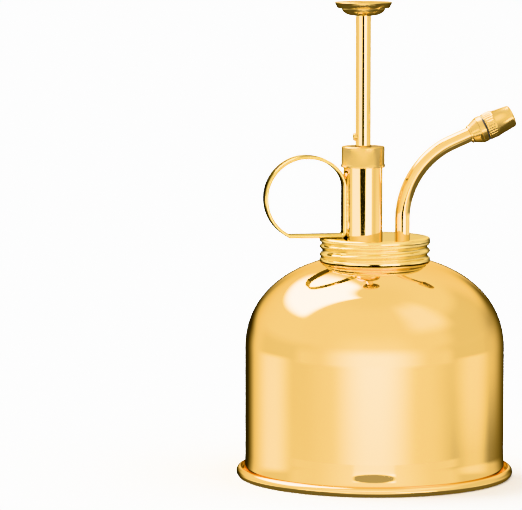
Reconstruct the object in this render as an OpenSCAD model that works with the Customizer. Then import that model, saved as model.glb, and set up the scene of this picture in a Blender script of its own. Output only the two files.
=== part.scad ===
// Hand-pumped brass plant mister. A bell-shaped water bottle has a threaded neck, and its
// screw cap carries the pump barrel, the finger ring and the spout with its spray nozzle.
// The origin is the centre of the flat base, on the axis of the neck.
// +Z is up and +X points to the side of the spout.

/* [Bottle] */
// Outer diameter of the bell's straight wall
bell_d = 83; // [78:0.2:88]
// Height at which the straight wall turns into the dome
wall_h = 41; // [36:0.5:46]
// Height of the dome, measured as if it closed at the top
dome_h = 30.5; // [28:0.5:33]
// How square the dome's shoulder is, where 2 is an ellipse
dome_power = 2.2; // [2:0.05:2.4]
// Thickness of the spun brass sheet
sheet_t = 0.8; // [0.6:0.05:0.9]
// How far the rolled rim stands out beyond the straight wall
rim_out = 2.9; // [2.9:0.05:3.4]
// Diameter of the rolled rim's round edge
rim_d = 3.2; // [3:0.1:3.3]

/* [Screw cap] */
// Outer diameter over the crests of the rolled thread
cap_d = 35.5; // [34:0.1:38]
// Height of the screw cap
cap_h = 7.4; // [7.2:0.1:8.4]
// Thickness of the pressed cap
cap_t = 0.6; // [0.5:0.05:0.7]
// Thread pitch of the cap and the neck
thread_pitch = 2.6; // [2.2:0.1:3]
// Depth of the rolled thread from crest to root
thread_depth = 0.9; // [0.7:0.05:1]
// Radial gap between the neck's thread and the cap's
thread_gap = 0.3; // [0.25:0.05:0.35]
// Diameter of the air hole in the cap
vent_d = 1.2; // [0.8:0.1:1.6]

/* [Pump] */
// Outer diameter of the pump barrel
barrel_d = 12.6; // [12.4:0.1:13]
// Bore of the pump barrel
barrel_bore = 10.8; // [10.6:0.1:10.9]
// Distance of the barrel's axis from the neck's axis
barrel_off = 3.9; // [3.8:0.05:4.4]
// Height of the barrel between the screw cap and the barrel cap
barrel_rise = 22.4; // [20:0.1:26]
// Height of the barrel cap
barrel_cap_h = 6.7; // [6:0.1:7.2]
// Outer diameter of the barrel cap
barrel_cap_d = 13.9; // [13.3:0.1:14]
// Diameter of the rod's hole in the barrel cap
rod_hole_d = 5.8; // [5.6:0.1:6]
// Height of the pump's valve body above the base
valve_z = 14; // [13:0.5:16]

/* [Plunger] */
// Diameter of the plunger rod
rod_d = 4.9; // [4.5:0.05:4.9]
// Length of rod that shows between the barrel cap and the button
rod_up = 41.5; // [41.2:0.1:46]
// Diameter of the thumb button
button_d = 18.3; // [16:0.1:20]
// Height of the thumb button
button_h = 4.4; // [4.2:0.1:5]
// How far the lock stud stands out of the rod
stud_out = 0.9; // [0.7:0.05:1]
// Height of the lock stud's axis above the barrel cap
stud_up = 2.9; // [2:0.1:6]
// Wire thickness of the return spring
spring_wire = 0.9; // [0.7:0.05:0.95]
// Number of turns in the return spring
spring_turns = 14; // [10:1:16]

/* [Finger ring] */
// Outer radius of the finger ring's round part
ring_r = 13.8; // [13.4:0.05:14.2]
// How far the ring's flat bottom cuts into its round part
ring_cut = 1.3; // [0.8:0.1:2]
// Distance from the ring's centre to its flat side on the barrel
ring_flat = 12.5; // [12:0.05:12.7]
// How deep the barrel sits in the hollow of the ring's flat side
ring_bite = 0.65; // [0.3:0.05:0.65]
// Radius of the ring's upper shoulder beside the barrel
ring_shoulder_r = 9; // [8:0.1:9.5]
// Radius of the ring's lower corner
ring_corner_r = 1.7; // [1.3:0.1:2.5]
// Thickness of the ring's strip
ring_t = 1.1; // [1:0.05:1.2]
// Width of the ring's strip
ring_w = 6; // [5:0.1:7]

/* [Spout] */
// Outer diameter of the spout tube
spout_d = 4.8; // [4.6:0.05:5]
// Bore of the spout tube
spout_bore = 3.4; // [3:0.1:3.6]
// Distance of the spout's straight part from the neck's axis
spout_off = 8.9; // [8.7:0.05:9.2]
// Height of straight spout between the screw cap and the bend
spout_rise = 5.2; // [4:0.1:12]
// Radius of the spout's bend along its centre line
bend_r = 27; // [22:0.5:32]
// Angle that the spout turns through from the vertical
bend_a = 66.6; // [50:0.1:85]
// Straight length between the bend and the nozzle
spout_run = 5.9; // [4:0.1:12]

/* [Nozzle] */
// Outer diameter of the nozzle at the joint
nozzle_d = 8.7; // [8.4:0.1:9]
// Length of the nozzle body from its small end to the joint
nozzle_body_l = 5.1; // [4.8:0.1:6]
// Length of the knurled nozzle cap
nozzle_cap_l = 9.6; // [9:0.1:10]
// Length of the knurled band
knurl_l = 3.2; // [2.4:0.1:3.6]
// Number of grooves in the knurled band
knurl_count = 30; // [20:1:34]
// Diameter of the spray hole
spray_d = 0.7; // [0.5:0.05:1]

/* [Hidden] */
$fn = 96;

// Reach of cutting tools past the faces that they cut
cut = 1;
// Gap of a fixed joint between two soldered or screwed pieces
seat_gap = 0.02;
// Gap between flat faces of pieces that move apart
face_gap = 0.05;

// Bottle
bell_r = bell_d / 2;
rim_r = rim_d / 2;
rim_cx = bell_r + rim_out - rim_r;
flange_z = sheet_t + seat_gap;
flange_r = rim_cx + rim_r / 2;
foot_flare = 0.3;
foot_flare_h = 8;
foot_fillet_r = 1.2;
foot_r = bell_r + foot_flare;
foot_fillet_x = foot_r + foot_fillet_r;

// Thread that is shared by the neck and the cap
thread_amp = thread_depth / 2;
cap_r = cap_d / 2;
cap_mean_r = cap_r - thread_amp;
neck_mean_r = cap_mean_r - cap_t - thread_gap;
neck_root_r = neck_mean_r - thread_amp;
neck_bore_r = neck_root_r - 0.95;
thread_sides = 48;
thread_rows = 20;
thread_run = 0.8;

// Screw cap and neck
cap_clearance = 0.35;
cap_z = dome_z(cap_r) + cap_clearance;
cap_top_z = cap_z + cap_h;
cap_plate_t = 0.8;
gasket_t = 0.7;
gasket_lap = 2;
neck_z = cap_z - 2;
neck_top_z = cap_top_z - cap_plate_t - gasket_t - 2 * face_gap;
vent_y = 10;

// Barrel
barrel_r = barrel_d / 2;
bore_r = barrel_bore / 2;
barrel_x = -barrel_off;
barrel_thread_r = barrel_r - 0.35;
barrel_cap_z = cap_top_z + barrel_rise;
barrel_cap_top = barrel_cap_z + barrel_cap_h;
barrel_cap_r = barrel_cap_d / 2;
barrel_cap_lip = 0.15;
barrel_cap_lip_h = 0.8;
barrel_cap_plate = 1.2;
buffer_t = 0.5;
buffer_hole_r = 3.7;
barrel_top = barrel_cap_top - barrel_cap_plate - buffer_t;
notch_r = 1.5;
notch_reach = 4;

// Valve body, measured up from valve_z
valve_h = 14;
valve_spigot_h = 4;
valve_top = valve_z + valve_h + valve_spigot_h;
nipple_r = 2.6;
nipple_h = 3;
suction_r = 1.4;
inlet_seat_z = valve_z + 3.6;
inlet_chamber_r = 3.2;
inlet_ball_r = 2.4;
ball_lift_gap = 0.04;
inlet_ball_z = inlet_seat_z - suction_r + inlet_ball_r * sqrt(2) + ball_lift_gap;
inlet_lift = 1.5;
inlet_pin_r = 0.5;
inlet_pin_z = inlet_ball_z + inlet_ball_r + inlet_lift + inlet_pin_r + 0.15;
passage_r = 1.1;
passage_z = valve_z + 11.8;
bridge_w = 6.4;
bridge_h = 4.4;
tower_r = 3.9;
tower_z = valve_z + 8.5;
tower_h = 15.5;
outlet_seat_z = passage_z + 1.4;
outlet_chamber_r = 2.35;
outlet_ball_r = 1.9;
outlet_ball_z = outlet_seat_z - passage_r + outlet_ball_r * sqrt(2) + ball_lift_gap;
outlet_lift = 1.2;
outlet_pin_r = 0.45;
outlet_pin_z = outlet_ball_z + outlet_ball_r + outlet_lift + outlet_pin_r + 0.15;
riser_z = tower_z + tower_h - 4;
plug_l = 2.2;
strainer_r = 4.4;
strainer_t = 0.5;
strainer_h = 9.5;
strainer_z = valve_z - strainer_h - 1;
strainer_hole_r = 0.7;
strainer_rows = 3;
strainer_holes = 8;

// Plunger
rod_r = rod_d / 2;
piston_r = bore_r - 0.05;
piston_h = 3.3;
piston_gap = 0.2;
piston_top = barrel_top - piston_gap;
spigot_r = 1.5;
cup_r = bore_r - 0.02;
cup_h = 3.5;
cup_t = 1;
cup_wall = 0.75;
cup_washer_r = 4.3;
cup_washer_t = 0.7;
nut_h = 2.4;
nut_r = 3.1;
piston_bottom = piston_top - piston_h;
washer_bottom = piston_bottom - cup_t - cup_washer_t;
nut_bottom = washer_bottom - nut_h;
rod_end_z = nut_bottom - 1;
button_z = barrel_cap_top + rod_up;
button_top = button_z + button_h;
button_r = button_d / 2;
button_rim_h = 2;
button_rim_in = 0.8;
button_step = 1.4;
button_boss_r = 2.9;
button_lip = 0.5;
dish_depth = 1.6;
rod_socket = 2;
stud_z = barrel_cap_top + stud_up;
stud_r = 1.2;
stud_shank_r = 0.8;
stud_shank_l = 1.4;

// Return spring and its seat
seat_t = 0.8;
seat_z = valve_top + face_gap;
seat_r = bore_r - 0.2;
spring_r = 4;
spring_z = seat_z + seat_t + face_gap;
spring_top = washer_bottom - face_gap;
spring_sides = 6;
spring_steps = 16;

// Finger ring
ring_gap = 0.05;
ring_bottom = cap_top_z + 0.1;
ring_drop = ring_r - ring_cut;
ring_z = ring_bottom + ring_drop;
ring_x = barrel_x - barrel_r + ring_bite - ring_flat;
ring_face_x = ring_x + ring_flat;
shoulder_dx = ring_flat - ring_shoulder_r;
shoulder_dz = sqrt(pow(ring_r - ring_shoulder_r, 2) - pow(shoulder_dx, 2));
shoulder_a = atan2(shoulder_dz, shoulder_dx);
solder_low = 1.8;
solder_h = 13.5;
solder_w = 0.9;

// Spout
spout_r = spout_d / 2;
spout_bore_r = spout_bore / 2;
bend_z = cap_top_z + spout_rise;
tube_in = 4;
bend_steps = 18;
spout_sides = 24;

// Nozzle, measured along its own axis from the small end of its body
nozzle_r = nozzle_d / 2;
nozzle_small_r = 3;
nozzle_collar_l = 0.6;
nozzle_band_l = 1.7;
nozzle_flats = 7.9;
screw_r = 2.6;
screw_l = 4.1;
water_way_r = 1.2;
washer_t = 0.5;
cap_start = nozzle_body_l + washer_t + face_gap;
cap_end = cap_start + nozzle_cap_l;
cap_tip_r = 3.65;
cap_tip_round = 0.9;
cap_screw_r = screw_r + 0.3;
cap_screw_l = 3.95;
swirl_room_r = 2.25;
swirl_room_l = 3.4;
swirl_r = 2;
swirl_l = 3.1;
swirl_gap = 0.15;
swirl_slots = 3;
swirl_slot_w = 0.6;
swirl_slot_deep = 0.5;
spray_wall = 0.55;
knurl_r = 0.28;
knurl_in = 0.12;
knurl_margin = 0.3;

// Outline helpers -------------------------------------------------------------

// Height of the dome's outer face at radius r
function dome_z(r) = wall_h + dome_h * pow(1 - pow(r / (bell_d / 2), dome_power), 1 / dome_power);

// Points along an arc about (cx, cy)
function arc(cx, cy, r, from, to, steps) = [
    for (i = [0:steps])
        let (a = from + (to - from) * i / steps)
            [cx + r * cos(a), cy + r * sin(a)]
];

// Points along the dome's section from the wall up to radius r_end, inset by t
function dome_arc(t, r_end, steps) =
    let (a = bell_r - t, c = dome_h - t, last = acos(pow(r_end / a, dome_power / 2)))
    [
        for (i = [0:steps])
            let (u = last * i / steps)
                [a * pow(cos(u), 2 / dome_power), wall_h + c * pow(sin(u), 2 / dome_power)]
    ];

function reversed(list) = [for (i = [len(list) - 1:-1:0]) list[i]];

// 0 at both ends of a threaded length and 1 along its middle
function thread_fade(z, low, high) = max(0, min(1, (z - low) / thread_run, (high - z) / thread_run));

// Wave of the right-hand thread, 1 on a crest and -1 in a root
function thread_wave(z, angle) = cos(360 * z / thread_pitch - angle);

// Ring of points at height z, for a wall that follows the thread and ends on a crest or a root
function thread_ring(mean, z, low, high, rest) = [
    for (i = [0:thread_sides - 1])
        let (
            a = 360 * i / thread_sides,
            fade = thread_fade(z, low, high),
            r = mean + thread_amp * (fade * thread_wave(z, a) + (1 - fade) * rest)
        )
            [r * cos(a), r * sin(a), z]
];

// Side faces between rings of points, where each ring holds the given number of sides
function wall_faces(first, rows, sides, flip) = [
    for (j = [0:rows - 1], i = [0:sides - 1], k = [0:1])
        let (
            a = first + j * sides + i,
            b = first + j * sides + (i + 1) % sides,
            c = b + sides,
            d = a + sides,
            tri = k == 0 ? [a, c, b] : [a, d, c]
        )
            flip ? reversed(tri) : tri
];

// Flat faces between two rings at the same height
function ring_faces(outer, inner, sides, flip) = [
    for (i = [0:sides - 1], k = [0:1])
        let (
            a = outer + i,
            b = outer + (i + 1) % sides,
            c = inner + (i + 1) % sides,
            d = inner + i,
            tri = k == 0 ? [a, b, c] : [a, c, d]
        )
            flip ? reversed(tri) : tri
];

// Building blocks -------------------------------------------------------------

// Tube open at both ends, from the rings of points of its outer and inner walls
module open_tube(outer, inner, rows, sides) {
    first = (rows + 1) * sides;
    polyhedron(
        points = concat(outer, inner),
        faces = concat(
            wall_faces(0, rows, sides, false),
            wall_faces(first, rows, sides, true),
            ring_faces(0, first, sides, false),
            ring_faces(rows * sides, first + rows * sides, sides, true)
        )
    );
}

module ring(r_out, r_in, z, h) {
    translate([0, 0, z])
        difference() {
            cylinder(r = r_out, h = h);
            translate([0, 0, -cut]) cylinder(r = r_in, h = h + 2 * cut);
        }
}

module rod_at(x, r, from_z, to_z) {
    translate([x, 0, from_z]) cylinder(r = r, h = to_z - from_z);
}

module on_barrel() {
    translate([barrel_x, 0, 0]) children();
}

module on_spout() {
    translate([spout_off, 0, 0]) children();
}

// Frame at the bend's upper end, with +Z along the spout towards the nozzle
module on_bend_end() {
    translate([spout_off + bend_r, 0, bend_z])
        rotate([90, 0, 0])
            rotate([0, 0, 180 - bend_a])
                translate([bend_r, 0, 0])
                    rotate([90, 0, 0]) children();
}

module on_nozzle() {
    on_bend_end() translate([0, 0, spout_run]) children();
}

// Bottle ----------------------------------------------------------------------

module bell_body() {
    fillet_cz = flange_z + sheet_t + foot_fillet_r;
    inner_fillet_r = foot_fillet_r + sheet_t;
    dome_steps = 28;
    outer = concat(
        [[flange_r, flange_z], [flange_r, flange_z + sheet_t]],
        arc(foot_fillet_x, fillet_cz, foot_fillet_r, 270, 180, 6),
        [[bell_r + foot_flare / 4, foot_flare_h - 2], [bell_r, foot_flare_h]],
        dome_arc(0, neck_root_r + face_gap, dome_steps)
    );
    inner = concat(
        reversed(dome_arc(sheet_t, neck_root_r + face_gap, dome_steps)),
        [[bell_r - sheet_t, foot_flare_h], [bell_r - sheet_t + foot_flare / 4, foot_flare_h - 2]],
        arc(foot_fillet_x, fillet_cz, inner_fillet_r, 180, 270, 6)
    );
    color("goldenrod") rotate_extrude() polygon(concat(outer, inner));
}

// Flat disc whose edge is curled over the bell's flange
module base_plate() {
    color("goldenrod")
        rotate_extrude()
            difference() {
                union() {
                    square([rim_cx, sheet_t]);
                    translate([rim_cx, rim_r]) circle(r = rim_r);
                }
                translate([0, sheet_t]) square([flange_r + seat_gap, sheet_t + 2 * seat_gap]);
                translate([rim_cx - rim_d, sheet_t]) square([foot_fillet_x - rim_cx + rim_d, rim_d]);
            }
}

// Neck ring with a rolled outside thread and a plain bore
module threaded_neck() {
    low = cap_z + 0.3;
    high = neck_top_z - 0.1;
    rows = thread_rows;
    points = [
        for (j = [0:rows])
            let (z = neck_z + (neck_top_z - neck_z) * j / rows)
                each thread_ring(neck_mean_r, z, low, high, -1)
    ];
    bottom = reversed([for (i = [0:thread_sides - 1]) i]);
    top = [for (i = [0:thread_sides - 1]) rows * thread_sides + i];
    color("goldenrod")
        difference() {
            polyhedron(
                points = points,
                faces = concat([reversed(bottom)], [reversed(top)],
                               wall_faces(0, rows, thread_sides, false))
            );
            translate([0, 0, neck_z - cut]) cylinder(r = neck_bore_r, h = neck_top_z - neck_z + 2 * cut);
        }
}

module cap_gasket() {
    color("dimgray")
        ring(neck_root_r, neck_bore_r - gasket_lap, neck_top_z + face_gap, gasket_t);
}

// Screw cap -------------------------------------------------------------------

// Thin skirt whose inside and outside both follow the thread
module cap_skirt() {
    rows = thread_rows;
    low = cap_z + 0.4;
    high = cap_top_z - cap_plate_t - 0.3;
    skirt_top = cap_top_z - cap_plate_t + 0.1;
    outer = [
        for (j = [0:rows])
            let (z = cap_z + (skirt_top - cap_z) * j / rows)
                each thread_ring(cap_mean_r - seat_gap, z, low, high, 1)
    ];
    inner = [
        for (j = [0:rows])
            let (z = cap_z + (skirt_top - cap_z) * j / rows)
                each thread_ring(cap_mean_r - cap_t, z, low, high, 1)
    ];
    open_tube(outer, inner, rows, thread_sides);
}

module screw_cap() {
    plate_z = cap_top_z - cap_plate_t;
    color("gold")
        difference() {
            union() {
                cap_skirt();
                translate([0, 0, plate_z])
                    rotate_extrude()
                        intersection() {
                            square([cap_r, cap_plate_t]);
                            union() {
                                square([cap_r - cap_plate_t, cap_plate_t]);
                                translate([cap_r - cap_plate_t, 0]) circle(r = cap_plate_t);
                            }
                        }
            }
            rod_at(barrel_x, barrel_r + seat_gap, plate_z - cut, cap_top_z + cut);
            rod_at(spout_off, spout_r + seat_gap, plate_z - cut, cap_top_z + cut);
            translate([0, vent_y, plate_z - cut]) cylinder(d = vent_d, h = cap_plate_t + 2 * cut);
        }
}

// Pump ------------------------------------------------------------------------

module pump_barrel() {
    foot_z = valve_top - valve_spigot_h;
    color("gold")
        on_barrel()
            difference() {
                union() {
                    rod_at(0, barrel_r, foot_z, barrel_cap_z - face_gap);
                    rod_at(0, barrel_thread_r, foot_z, barrel_top);
                }
                rod_at(0, bore_r, foot_z - cut, barrel_top + cut);
            }
}

// Cap of the barrel, with a notch that lets the lock stud through
module barrel_cap() {
    round_r = 0.5;
    color("goldenrod")
        on_barrel()
            difference() {
                translate([0, 0, barrel_cap_z])
                    rotate_extrude()
                        polygon(concat(
                            [[0, 0], [barrel_cap_r + barrel_cap_lip, 0]],
                            [[barrel_cap_r + barrel_cap_lip, barrel_cap_lip_h]],
                            [[barrel_cap_r, barrel_cap_lip_h + barrel_cap_lip]],
                            arc(barrel_cap_r - round_r, barrel_cap_h - round_r, round_r, 0, 90, 5),
                            [[0, barrel_cap_h]]
                        ));
                rod_at(0, barrel_thread_r + seat_gap, barrel_cap_z - cut, barrel_cap_top - barrel_cap_plate);
                rod_at(0, rod_hole_d / 2, barrel_cap_z, barrel_cap_top + cut);
                rod_at(notch_r - notch_reach, notch_r, barrel_cap_z, barrel_cap_top + cut);
                translate([notch_r - notch_reach, -notch_r, barrel_cap_z])
                    cube([notch_reach - notch_r, 2 * notch_r, barrel_cap_h + cut]);
            }
}

module buffer_washer() {
    color("saddlebrown")
        on_barrel()
            ring(barrel_thread_r - face_gap, buffer_hole_r, barrel_top + seat_gap / 2, buffer_t - seat_gap);
}

// Brass body at the pump's foot that holds both ball valves
module valve_body() {
    foot_z = valve_top - valve_spigot_h;
    passage_end = spout_off + tower_r;
    color("darkgoldenrod")
        difference() {
            union() {
                rod_at(barrel_x, barrel_r, valve_z, foot_z);
                rod_at(barrel_x, bore_r - seat_gap, valve_z, valve_top);
                rod_at(barrel_x, nipple_r, valve_z - nipple_h, valve_z + cut);
                rod_at(spout_off, tower_r, tower_z, tower_z + tower_h);
                translate([barrel_x, -bridge_w / 2, foot_z - bridge_h])
                    cube([spout_off - barrel_x, bridge_w, bridge_h - face_gap]);
            }
            // Inlet: suction bore, seat and chamber
            rod_at(barrel_x, suction_r, valve_z - nipple_h - cut, inlet_seat_z + face_gap);
            translate([barrel_x, 0, inlet_seat_z])
                cylinder(r1 = suction_r, r2 = inlet_chamber_r, h = inlet_chamber_r - suction_r);
            rod_at(barrel_x, inlet_chamber_r, inlet_seat_z + inlet_chamber_r - suction_r, valve_top + cut);
            translate([barrel_x, 0, inlet_pin_z])
                rotate([90, 0, 0])
                    cylinder(r = inlet_pin_r + seat_gap, h = barrel_d + 2 * cut, center = true);
            // Cross passage to the outlet tower
            translate([barrel_x, 0, passage_z])
                rotate([0, 90, 0]) cylinder(r = passage_r, h = passage_end - barrel_x + cut);
            // Outlet: seat, chamber and the spout tube's socket
            rod_at(spout_off, passage_r, passage_z, outlet_seat_z + face_gap);
            translate([spout_off, 0, outlet_seat_z])
                cylinder(r1 = passage_r, r2 = outlet_chamber_r, h = outlet_chamber_r - passage_r);
            rod_at(spout_off, outlet_chamber_r, outlet_seat_z + outlet_chamber_r - passage_r,
                   riser_z + face_gap);
            rod_at(spout_off, spout_r + seat_gap, riser_z, tower_z + tower_h + cut);
            translate([spout_off, 0, outlet_pin_z])
                rotate([90, 0, 0])
                    cylinder(r = outlet_pin_r + seat_gap, h = 2 * tower_r + 2 * cut, center = true);
        }
}

module inlet_ball() {
    color("silver") translate([barrel_x, 0, inlet_ball_z]) sphere(r = inlet_ball_r);
}

module inlet_pin() {
    color("silver")
        translate([barrel_x, 0, inlet_pin_z])
            rotate([90, 0, 0]) cylinder(r = inlet_pin_r, h = barrel_d - 1, center = true);
}

module outlet_ball() {
    color("silver") on_spout() translate([0, 0, outlet_ball_z]) sphere(r = outlet_ball_r);
}

module outlet_pin() {
    color("silver")
        on_spout()
            translate([0, 0, outlet_pin_z])
                rotate([90, 0, 0]) cylinder(r = outlet_pin_r, h = 2 * tower_r - 1, center = true);
}

// Screw plug that closes the outer end of the drilled cross passage
module passage_plug() {
    slot_w = 0.5;
    slot_deep = 0.6;
    head_x = spout_off + tower_r - 0.1;
    color("goldenrod")
        difference() {
            translate([head_x - plug_l, 0, passage_z])
                rotate([0, 90, 0]) cylinder(r = passage_r - seat_gap, h = plug_l);
            translate([head_x - slot_deep, -passage_r - cut, passage_z - slot_w / 2])
                cube([slot_deep + cut, 2 * (passage_r + cut), slot_w]);
        }
}

// Perforated cup round the suction nipple
module suction_strainer() {
    row_pitch = 2.4;
    color("tan")
        on_barrel()
            difference() {
                rod_at(0, strainer_r, strainer_z, strainer_z + strainer_h);
                rod_at(0, strainer_r - strainer_t, strainer_z + strainer_t,
                       strainer_z + strainer_h - strainer_t);
                rod_at(0, nipple_r + seat_gap, strainer_z + strainer_h / 2, strainer_z + strainer_h + cut);
                for (row = [0:strainer_rows - 1], i = [0:strainer_holes - 1])
                    translate([0, 0, strainer_z + 2 + row * row_pitch])
                        rotate([90, 0, 360 * (i + row / 2) / strainer_holes])
                            cylinder(r = strainer_hole_r, h = strainer_r + cut, $fn = 24);
            }
}

module spring_seat() {
    color("goldenrod") on_barrel() ring(seat_r, inlet_chamber_r - 0.6, seat_z, seat_t);
}

// Helical wire of round section, whose ends lie on its seats
module return_spring() {
    wire_r = spring_wire / 2;
    steps = spring_turns * spring_steps;
    low = spring_z + wire_r;
    rise = spring_top - spring_z - spring_wire;
    points = [
        for (i = [0:steps], j = [0:spring_sides - 1])
            let (
                turn = 360 * i / spring_steps,
                side = 360 * j / spring_sides,
                r = spring_r + wire_r * cos(side)
            )
                [r * cos(turn), r * sin(turn), low + rise * i / steps + wire_r * sin(side)]
    ];
    start = [for (j = [0:spring_sides - 1]) j];
    end = [for (j = [0:spring_sides - 1]) steps * spring_sides + j];
    color("lightgray")
        on_barrel()
            polyhedron(
                points = points,
                faces = concat([reversed(start)], [end], wall_faces(0, steps, spring_sides, true))
            );
}

// Finger ring -----------------------------------------------------------------

// Outline of the ring's section in the XZ plane, inset by t: shoulder, round part, flat bottom and corner
function ring_outline(t) =
    let (kink_a = 180 + asin((ring_drop - t) / (ring_r - t)))
    concat(
        arc(ring_x + shoulder_dx, ring_z + shoulder_dz, ring_shoulder_r - t, 0, shoulder_a, 8),
        arc(ring_x, ring_z, ring_r - t, shoulder_a, kink_a, 40),
        arc(ring_face_x - ring_corner_r, ring_bottom + ring_corner_r, ring_corner_r - t, 270, 360, 6)
    );

// Bent strip whose flat side is hollowed to fit round the barrel
module finger_ring() {
    color("gold")
        difference() {
            rotate([90, 0, 0])
                linear_extrude(ring_w, center = true)
                    difference() {
                        polygon(ring_outline(0));
                        polygon(ring_outline(ring_t));
                    }
            rod_at(barrel_x, barrel_r + ring_gap, cap_top_z, barrel_cap_z);
        }
}

// Solder fillets along both edges of the ring's flat side, against the barrel
module ring_solder() {
    color("lightgoldenrodyellow")
        difference() {
            for (side = [0, 1])
                mirror([0, side, 0])
                    translate([ring_face_x - solder_w / 2, ring_w / 2 + seat_gap, cap_top_z + solder_low])
                        cube([solder_w, solder_w, solder_h]);
            rod_at(barrel_x, barrel_r + seat_gap, cap_top_z, barrel_cap_z);
        }
}

// Solder beads where the barrel and the spout tube pass through the screw cap
module seam_solder() {
    bead = 0.45;
    color("lightgoldenrodyellow")
        for (seam = [[barrel_x, barrel_r], [spout_off, spout_r]])
            translate([seam[0], 0, cap_top_z - cap_plate_t - bead - seat_gap])
                rotate_extrude()
                    polygon([
                        [seam[1] + seat_gap, 0],
                        [seam[1] + seat_gap + bead, bead],
                        [seam[1] + seat_gap, bead]
                    ]);
}

// Spout and nozzle ------------------------------------------------------------

// Rings of points of radius r along the tube: its foot, its bend and its upper end
function spout_rings(r) = [
    for (i = [0:bend_steps + 2])
        let (
            a = i == 0 ? 0 : min(i - 1, bend_steps) * bend_a / bend_steps,
            run = i == bend_steps + 2 ? spout_run + tube_in : 0,
            x = spout_off + bend_r * (1 - cos(a)) + run * sin(a),
            z = i == 0 ? riser_z + face_gap : bend_z + bend_r * sin(a) + run * cos(a)
        )
            for (j = [0:spout_sides - 1])
                let (side = 360 * j / spout_sides)
                    [x + r * cos(side) * cos(a), r * sin(side), z - r * cos(side) * sin(a)]
];

module spout_tube() {
    color("gold") open_tube(spout_rings(spout_r), spout_rings(spout_bore_r), bend_steps + 2, spout_sides);
}

// Nozzle body with a flatted taper and a screwed nose
module nozzle_body() {
    taper_end = nozzle_body_l - nozzle_band_l;
    color("gold")
        on_nozzle()
            difference() {
                union() {
                    rod_at(0, nozzle_small_r, 0, nozzle_collar_l);
                    intersection() {
                        translate([0, 0, nozzle_collar_l])
                            cylinder(r1 = nozzle_small_r, r2 = nozzle_r, h = taper_end - nozzle_collar_l);
                        cylinder(d = nozzle_flats / cos(30), h = nozzle_body_l, $fn = 6);
                    }
                    rod_at(0, nozzle_r, taper_end, nozzle_body_l);
                    rod_at(0, screw_r, taper_end, nozzle_body_l + screw_l);
                }
                rod_at(0, spout_r + seat_gap, -cut, tube_in + face_gap);
                rod_at(0, water_way_r, 0, nozzle_body_l + screw_l + cut);
            }
}

module nozzle_washer() {
    color("black")
        on_nozzle()
            ring(nozzle_r - 0.15, screw_r + seat_gap, nozzle_body_l + seat_gap, washer_t - seat_gap);
}

// Loose core whose slots set the water spinning
module swirl_core() {
    start = cap_start + cap_screw_l + swirl_gap;
    color("tan")
        on_nozzle()
            difference() {
                rod_at(0, swirl_r, start, start + swirl_l);
                for (i = [0:swirl_slots - 1])
                    rotate([0, 0, 360 * i / swirl_slots])
                        translate([swirl_r - swirl_slot_deep, -swirl_slot_w / 2, start - cut])
                            cube([swirl_slot_deep + cut, swirl_slot_w, swirl_l + 2 * cut]);
            }
}

// Knurled cap with the spray hole at its tip
module nozzle_cap() {
    room_z = cap_start + cap_screw_l;
    cone_z = room_z + swirl_room_l;
    hole_z = cap_end - spray_wall;
    color("goldenrod")
        on_nozzle()
            difference() {
                rotate_extrude()
                    polygon(concat(
                        [[0, cap_start], [nozzle_r, cap_start], [nozzle_r, cap_start + knurl_l]],
                        [[nozzle_r - 0.15, cap_start + knurl_l + 0.15]],
                        arc(cap_tip_r - cap_tip_round, cap_end - cap_tip_round, cap_tip_round, 0, 90, 5),
                        [[0, cap_end]]
                    ));
                rod_at(0, cap_screw_r, cap_start - cut, room_z);
                rod_at(0, swirl_room_r, room_z - cut, cone_z);
                translate([0, 0, cone_z])
                    cylinder(r1 = swirl_room_r, r2 = spray_d / 2, h = hole_z - cone_z);
                rod_at(0, spray_d / 2, cone_z, cap_end + cut);
                for (i = [0:knurl_count - 1])
                    rotate([0, 0, 360 * i / knurl_count])
                        rod_at(nozzle_r + knurl_in, knurl_r, cap_start + knurl_margin,
                               cap_start + knurl_l - knurl_margin, $fn = 16);
            }
}

// Plunger ---------------------------------------------------------------------

// Thumb button with a dished top, a sharp rim and a bowl-shaped underside
module plunger_button() {
    dish_edge = button_r - button_lip;
    dish_sphere_r = (pow(dish_edge, 2) + pow(dish_depth, 2)) / (2 * dish_depth);
    dish_a = asin(dish_edge / dish_sphere_r);
    rim_low = button_top - button_rim_h;
    bowl_r = button_r - button_rim_in - button_step;
    bowl_h = rim_low - button_z;
    bowl = [
        for (i = [0:8])
            let (a = 90 * i / 8)
                [button_boss_r + (bowl_r - button_boss_r) * cos(a), rim_low - bowl_h * sin(a)]
    ];
    color("goldenrod")
        on_barrel()
            difference() {
                rotate_extrude()
                    polygon(concat(
                        [[0, button_top - dish_depth]],
                        arc(0, button_top - dish_depth + dish_sphere_r, dish_sphere_r,
                            -90 + dish_a / 10, -90 + dish_a, 9),
                        [[button_r, button_top], [button_r, button_top - 0.3]],
                        [[button_r - button_rim_in, rim_low]],
                        bowl,
                        [[0, button_z]]
                    ));
                rod_at(0, rod_r + seat_gap, button_z - cut, button_z + rod_socket + face_gap);
            }
}

module plunger_rod() {
    color("gold")
        on_barrel()
            difference() {
                union() {
                    rod_at(0, rod_r, piston_top + seat_gap, button_z + rod_socket);
                    rod_at(0, spigot_r, rod_end_z, piston_top + cut);
                }
                translate([-rod_r + stud_shank_l, 0, stud_z])
                    rotate([0, -90, 0]) cylinder(r = stud_shank_r + seat_gap, h = stud_shank_l + cut);
            }
}

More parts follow.
